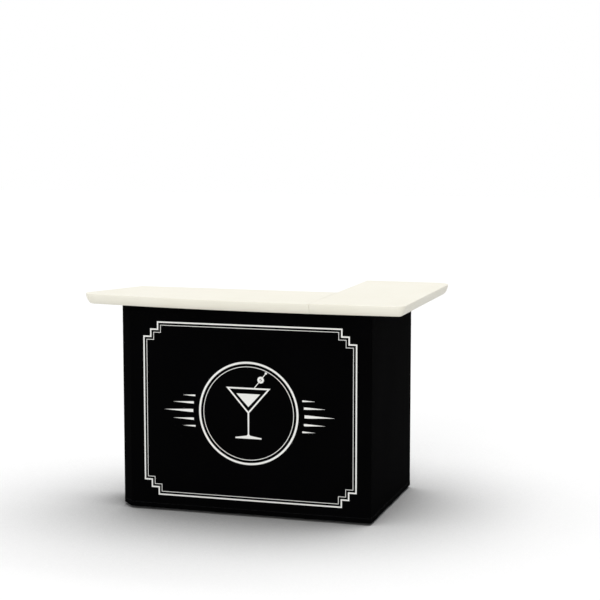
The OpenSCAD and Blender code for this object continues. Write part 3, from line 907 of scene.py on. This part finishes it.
def wheelRib(c):
    # a standing rib along +Z from the boss, on the +X side of the web
    rib = block("wheelRib", (c["atBoss"] - c["web"], c["thick"], c["outer"] - c["inner"]),
                ((c["atBoss"] + c["web"]) / 2, 0, (c["outer"] + c["inner"]) / 2))
    pick(rib, "verts", lambda v: v.co.x > c["atRim"] and v.co.z > c["outer"] - same)
    bpy.ops.transform.translate(value=(c["atRim"] - c["atBoss"], 0, 0))
    bevelWhere(rib, lambda edge: all(v.co.x > c["web"] + same for v in edge.verts)
               and abs(edge.verts[0].co.y - edge.verts[1].co.y) < same, c["edge"], 2)
    return rib


for castor in castorNames:
    low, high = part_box("hub_" + castor)
    hub = Matrix.Translation((low + high) / 2)
    places = []
    for i in range(wheelRibSet["count"]):
        turned = hub @ Matrix.Rotation(2 * math.pi * i / wheelRibSet["count"], 4, "X")
        places += [turned, turned @ Matrix.Rotation(math.pi, 4, "Z")]
    ribs = scatter(wheelRib(wheelRibSet), camel("wheelRibs", castor), places)
    fit(ribs, "wheel_" + castor, "hub", "greyMouldedNylon", degrees=wheelRibSet["smooth"])
print("stage: wheel ribs,", wheelRibSet["count"], "a side")

# small hardware: castor bolts, spring buttons in the rails, plugs in the posts

boltSet = dict(spread=0.0205, across=0.010, head=0.0040, nut=0.0050, chamfer=0.0009, turnedOff=0.86,
               washer=0.0064, washerThick=0.0010, washerSides=24, washerEdge=0.3, washerTop=0.95,
               stud=0.0030, thread=0.0029, studTip=0.85, plate=0.0025, crown=0.020,
               turnStep=math.radians(17), smooth=25)


def hexPart(name, c, high, studLong):
    # washer, hexagon with its corners turned off, and the end of the thread if it shows
    thick, edge = c["washerThick"], c["washerEdge"]
    washer = pillar(name, c["washerSides"], c["washer"],
                    ((thick * (1 - edge), 1.0), (thick * edge, c["washerTop"])))
    faceOut()
    hexagon = pillar("hexagon", 6, c["across"] / math.sqrt(3),
                     ((high - c["chamfer"], 1.0), (c["chamfer"], c["turnedOff"])), thick)
    if studLong:
        bpy.ops.mesh.inset(thickness=c["across"] / 2 * c["turnedOff"] - c["thread"])
        drawUp([(studLong, c["studTip"])])
    faceOut()
    return merge([washer, hexagon], name)


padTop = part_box("castor_pads")[1].z
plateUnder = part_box("castor_plates")[1].z - boltSet["plate"]
headPlaces, nutPlaces = [], []
for castor in castorNames:
    low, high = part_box("fork_" + castor)
    for dx in (-1, 1):
        for dy in (-1, 1):  # round the swivel axis, each stopped at its own angle
            x = (low.x + high.x) / 2 + dx * boltSet["spread"]
            y = low.y + boltSet["crown"] + dy * boltSet["spread"]
            turn = boltSet["turnStep"] * (dx + 2 * dy)
            headPlaces.append(placed((x, y, plateUnder), math.pi, "X") @ Matrix.Rotation(turn, 4, "Z"))
            nutPlaces.append(placed((x, y, padTop), turn))
heads = scatter(hexPart("castorBoltHead", boltSet, boltSet["head"], 0.0), "castorBolts", headPlaces)
nuts = scatter(hexPart("castorBoltNut", boltSet, boltSet["nut"], boltSet["stud"]), "castorNuts", nutPlaces)
for piece in (heads, nuts):
    fit(piece, "frame", "castor_metal", "zincPlatedSteel", degrees=boltSet["smooth"])

buttonSet = dict(collar=0.0050, collarHigh=0.0004, collarTop=0.92, sides=20, radius=0.0036, high=0.0022,
                 dome=((0.62, 1.0), (0.22, 0.86), (0.12, 0.74), (0.04, 0.5)), fromEnd=0.022, smooth=40)


def springButton(c):
    # a rolled lip round the hole and a domed pin in it
    button = pillar("button", c["sides"], c["collar"], [(c["collarHigh"], c["collarTop"])])
    bpy.ops.mesh.inset(thickness=c["collar"] * c["collarTop"] - c["radius"])
    drawUp([(c["high"] * share, narrow) for share, narrow in c["dome"]])
    faceOut()
    return button


def onRail(low, high, look, along, z):  # a place on the face of a rail that looks that way
    face = high if sum(look) > 0 else low
    return Vector((face.x, along, z) if look[0] else (along, face.y, z))


low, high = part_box("post_inner")
tubeWide = high.x - low.x
# each rail: the way its open face looks, and how far a mitre shortens that face at its first end
railFaces = {"rear": ((0, 1), 0.0), "inner": ((-1, 0), 0.0), "front": ((0, 1), tubeWide),
             "left": ((1, 0), tubeWide), "right": ((-1, 0), 0.0), "end": ((0, -1), 0.0)}
midRailed = ("front", "rear", "right", "inner")  # the sides that have a rail at the middle shelf
buttonPlaces = []
for rail, (look, mitre) in railFaces.items():
    low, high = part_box("base_rail_" + rail)
    boxes = [(low, high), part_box("top_rail_" + rail)]
    if rail in midRailed:
        boxes.append(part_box("shelf_rails"))
    turn = Vector((*look, 0)).to_track_quat("Z", "Y").to_matrix().to_4x4()
    across = abs(look[0])
    ends = low[across] + mitre + buttonSet["fromEnd"], high[across] - buttonSet["fromEnd"]
    for under, over in boxes:
        for end in ends:
            spot = onRail(low, high, look, end, (under.z + over.z) / 2)
            buttonPlaces.append(Matrix.Translation(spot) @ turn)
buttons = scatter(springButton(buttonSet), "railButtons", buttonPlaces)
fit(buttons, "frame", "castor_metal", "zincPlatedSteel", degrees=buttonSet["smooth"])

plugSet = dict(foot=0.0026, footCorner=0.003, insert=0.0024, insertCorner=0.0022, wall=0.0015,
               sunk=0.0006, rim=0.0045, recess=0.0010, edge=0.0004, smooth=40)


def tubePlug(wide, deep, thick, corner, c):
    # a moulded plug with a sunk middle, which stands on its underside
    plug = block("plug", (wide, deep, thick), (0, 0, thick / 2))
    pick(plug, "faces", lambda face: face.normal.z > facing)
    bpy.ops.mesh.inset(thickness=c["rim"])
    pull((0, 0, -c["recess"]))
    bevelWhere(plug, lambda edge: abs(edge.verts[0].co.z - edge.verts[1].co.z) > thick / 2, corner, 4)
    bevelWhere(plug, lambda edge: edge.is_convex and all(v.co.z > thick - same for v in edge.verts),
               c["edge"], 3)
    return plug


def tubeInsert(wide):
    return tubePlug(wide - 2 * plugSet["wall"], tubeWide - 2 * plugSet["wall"],
                    plugSet["insert"], plugSet["insertCorner"], plugSet)


footPlaces, insertPlaces = [], []
for post in ("rear_left", "inner", "front_right", "arm_inner", "arm_outer"):
    low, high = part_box("post_" + post)
    x, y = (low.x + high.x) / 2, (low.y + high.y) / 2
    insertPlaces.append(placed((x, y, high.z - plugSet["sunk"] - plugSet["insert"])))
    if post in brakedNames:  # the others stand on a castor pad
        footPlaces.append(placed((x, y, low.z), math.pi, "X"))
feet = scatter(tubePlug(tubeWide, tubeWide, plugSet["foot"], plugSet["footCorner"], plugSet),
               "postFeet", footPlaces)
inserts = scatter(tubeInsert(tubeWide), "inserts", insertPlaces)
low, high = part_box("post_front_left")  # the wide post, turned across the corner
wideSide = (high.x - low.x) * math.sqrt(2) - tubeWide
widePlace = (low.x + high.x) / 2, (low.y + high.y) / 2, insertPlaces[0].translation.z
wideInsert = scatter(tubeInsert(wideSide), "wideInsert", [placed(widePlace, math.radians(135))])
inserts = merge([inserts, wideInsert], "postInserts")
for piece in (feet, inserts):
    fit(piece, "frame", "pedal", "blackMouldedNylon", degrees=plugSet["smooth"])
print("stage: hardware,", len(headPlaces), "bolts,", len(buttonPlaces), "spring buttons")

# hook tape on the outer faces of the frame, under the cloth

tapeSet = dict(wide=0.020, backing=0.0004, pile=0.0005, pileTop=0.97, selvedge=0.0022, fromEnd=0.004,
               fromTop=0.001)
tapedRails = {"front": (0, -1), "left": (-1, 0), "right": (1, 0), "end": (0, 1)}
tapedPosts = {"post_rear_left": (-1, 0), "post_arm_inner": (0, 1)}


def tapeStrip(first, last, look, c):
    # a woven backing with a raised field of hooks between its selvedges
    along, out = last - first, Vector((*look, 0))
    strip = block("tape", (along.length - 2 * c["fromEnd"], c["wide"], c["backing"]),
                  (0, 0, c["backing"] / 2))
    pick(strip, "faces", lambda face: face.normal.z > facing)
    bpy.ops.mesh.inset(thickness=c["selvedge"])
    pull((0, 0, c["pile"]), (1.0, c["pileTop"], 1.0))
    along.normalize()
    turn = Matrix((along, out.cross(along), out)).transposed().to_4x4()
    strip.matrix_world = Matrix.Translation((first + last) / 2) @ turn
    settle(strip)
    return strip


tapeStrips = []
for level in ("base_rail_", "top_rail_"):
    for rail, look in tapedRails.items():
        low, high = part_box(level + rail)
        z = (low.z + high.z) / 2
        if level == "top_rail_":
            z = wrapHigh - tapeSet["wide"] / 2 - tapeSet["fromTop"]
        across = abs(look[0])
        ends = [onRail(low, high, look, end, z) for end in (low[across], high[across])]
        tapeStrips.append(tapeStrip(*ends, look, tapeSet))
for post, look in tapedPosts.items():
    low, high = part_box(post)
    across = abs(look[0])
    ends = [onRail(low, high, look, (low[across] + high[across]) / 2, z) for z in (low.z, wrapHigh)]
    tapeStrips.append(tapeStrip(*ends, look, tapeSet))
fit(merge(tapeStrips, "hookTape"), "frame", "wrap", "blackNylonTape")
print("stage: hook tape,", len(tapeStrips), "strips")

# floor, light and camera

stageSet = dict(
    floor=60.0, floorSeen=1.0, floorBounce=0.78, sky=0.36, skySeen=1.0,
    # painted shade on the floor: how far the ambient occlusion reaches, which way it leans, and how dark it
    # paints the floor
    shadeReach=1.5, shadeLean=(0.287, 0.0, 0.958), shadeSamples=12, shade=(0.40, 0.998, 0.27, 1.0),
    lamps=(dict(name="frontSoftLight", toward=(0.0, -0.966, 0.26), width=40, power=1.24),
           dict(name="overheadSoftLight", toward=(0.06, 0.0, 1.0), width=64, power=1.85)),
)
cameraSet = dict(place=(2.4215, -7.4749, 1.9265), pitch=6.64, yaw=16.84, lens=94.76, sensor=36.0,
                 reach=100.0)


def toneByRay(tree, thrown, seen):
    # one tone for the light thrown on, and one for what is seen, directly or in a reflection
    rays = addNode(tree, "LightPath")
    direct = rays, "Is Camera Ray"
    for ray in ("Is Glossy Ray", "Is Transmission Ray"):
        either = addNode(tree, "Math", {"operation": "MAXIMUM"}, links={0: direct, 1: (rays, ray)})
        direct = either, "Value"
    return addNode(tree, "MapRange", values=spans(0.0, 1.0, thrown, seen), links={"Value": direct})


def studioPaper(name, c):
    # matt white paper, seen a little brighter than what it throws back, with painted shade: its colour is
    # darkened near the unit by ambient occlusion
    tree = freshTree(bpy.data.materials.new(name))
    tone = toneByRay(tree, c["floorBounce"], c["floorSeen"])
    # the painted shade leans to the left of the unit
    leaning = addNode(tree, "CombineXYZ", values=dict(zip("XYZ", c["shadeLean"])))
    paintedShadeOcclusion = addNode(tree, "AmbientOcclusion", {"samples": c["shadeSamples"]},
                     {"Distance": c["shadeReach"]}, {"Normal": (leaning, "Vector")})
    shade = addNode(tree, "MapRange", values=spans(*c["shade"]), links={"Value": (paintedShadeOcclusion, "AO")})
    shaded = addNode(tree, "Math", {"operation": "MULTIPLY"},
                     links={0: (tone, "Result"), 1: (shade, "Result")})
    paper = addNode(tree, "BsdfDiffuse", links={"Color": (shaded, "Value")})
    addNode(tree, "OutputMaterial", links={"Surface": (paper, "BSDF")})


def skyLight(c):
    world = bpy.context.scene.world = bpy.data.worlds.new("studioSky")
    tree = freshTree(world)
    tone = toneByRay(tree, c["sky"], c["skySeen"])
    sky = addNode(tree, "Background", values={"Color": (1.0, 1.0, 1.0, 1.0)},
                  links={"Strength": (tone, "Result")})
    addNode(tree, "OutputWorld", links={"Surface": (sky, "Background")})


studioPaper("whiteStudioPaper", stageSet)
floor = start(bpy.ops.mesh.primitive_plane_add, "studioFloor", size=stageSet["floor"])
paint(floor, "whiteStudioPaper")
skyLight(stageSet)
for settings in stageSet["lamps"]:
    light = bpy.data.lights.new(settings["name"], "SUN")
    light.energy, light.angle = settings["power"], math.radians(settings["width"])
    lamp = addObject(settings["name"], light)
    lamp.rotation_euler = (-Vector(settings["toward"])).to_track_quat("-Z", "Y").to_euler()

lens = bpy.data.cameras.new("photoCamera")
lens.lens, lens.sensor_width, lens.clip_end = cameraSet["lens"], cameraSet["sensor"], cameraSet["reach"]
camera = addObject("photoCamera", lens)
camera.location = cameraSet["place"]
camera.rotation_euler = math.radians(90 - cameraSet["pitch"]), 0.0, math.radians(cameraSet["yaw"])
bpy.context.scene.camera = camera
bpy.context.scene.view_settings.view_transform = "Standard"
print("stage: floor, light and camera")
